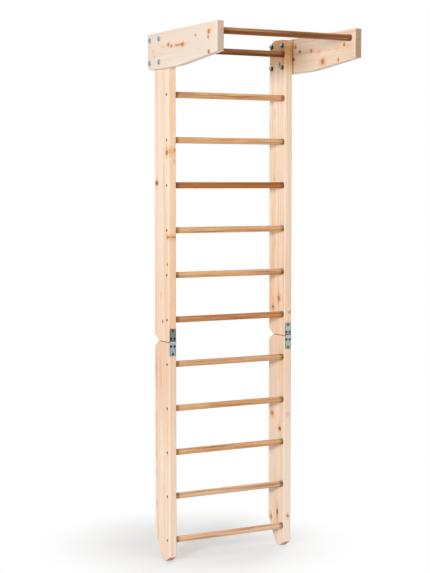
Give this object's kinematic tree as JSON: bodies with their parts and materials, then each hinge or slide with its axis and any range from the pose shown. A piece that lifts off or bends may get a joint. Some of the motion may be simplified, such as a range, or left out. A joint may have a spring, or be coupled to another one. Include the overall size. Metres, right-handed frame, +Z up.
{
  "type": "folding climbing ladder",
  "caption": "Folding wooden wall ladder: round rungs between board stiles that fold at strap hinges, with bolted arms at the top that carry a pull-up bar.",
  "frame": {"origin": "on the floor, midway between the two sides, and midway from the arms' front ends to the stiles' backs", "axes": "+Z up along the stiles, +Y back towards the wall, so the climber stands on the -Y side; +X to the climber's right"},
  "size_m": [0.7122, 0.665, 2.37],
  "materials": {
    "spruce": "planed, eased edges, clear oil, knotty",
    "rung_wood": "brown oiled round rod",
    "zinc": "bluish zinc plate",
    "dark_steel": "dark screws"
  },
  "bodies": {
    "upper_section": {"left_upper_stile": "spruce", "left_arm": "spruce", "right_upper_stile": "spruce", "right_arm": "spruce", "rung_06": "rung_wood", "rung_07": "rung_wood", "rung_08": "rung_wood", "rung_09": "rung_wood", "rung_10": "rung_wood", "rung_11": "rung_wood", "rung_12": "rung_wood", "pull_up_bar": "rung_wood", "left_bar_screw": "dark_steel", "left_arm_bolt_1": "zinc", "left_cap_nut_1": "zinc", "left_arm_bolt_2": "zinc", "left_cap_nut_2": "zinc", "left_arm_bolt_3": "zinc", "left_cap_nut_3": "zinc", "left_arm_bolt_4": "zinc", "left_cap_nut_4": "zinc", "left_hinge_pin": "zinc", "left_hinge_upper_leaf": "zinc", "left_hinge_upper_screw_1": "dark_steel", "left_hinge_upper_screw_2": "dark_steel", "left_hinge_upper_screw_3": "dark_steel", "right_bar_screw": "dark_steel", "right_arm_bolt_1": "zinc", "right_cap_nut_1": "zinc", "right_arm_bolt_2": "zinc", "right_cap_nut_2": "zinc", "right_arm_bolt_3": "zinc", "right_cap_nut_3": "zinc", "right_arm_bolt_4": "zinc", "right_cap_nut_4": "zinc", "right_hinge_pin": "zinc", "right_hinge_upper_leaf": "zinc", "right_hinge_upper_screw_1": "dark_steel", "right_hinge_upper_screw_2": "dark_steel", "right_hinge_upper_screw_3": "dark_steel"},
    "lower_section": {"left_lower_stile": "spruce", "right_lower_stile": "spruce", "rung_01": "rung_wood", "rung_02": "rung_wood", "rung_03": "rung_wood", "rung_04": "rung_wood", "rung_05": "rung_wood", "left_hinge_lower_leaf": "zinc", "left_hinge_lower_screw_1": "dark_steel", "left_hinge_lower_screw_2": "dark_steel", "left_hinge_lower_screw_3": "dark_steel", "right_hinge_lower_leaf": "zinc", "right_hinge_lower_screw_1": "dark_steel", "right_hinge_lower_screw_2": "dark_steel", "right_hinge_lower_screw_3": "dark_steel"}
  },
  "joints": [
    {"name": "fold", "type": "hinge", "parent": "upper_section", "child": "lower_section", "pos_m": [0, 0.1827, 1], "axis": [-1, 0, 0], "range_deg": [0, 180]}
  ]
}
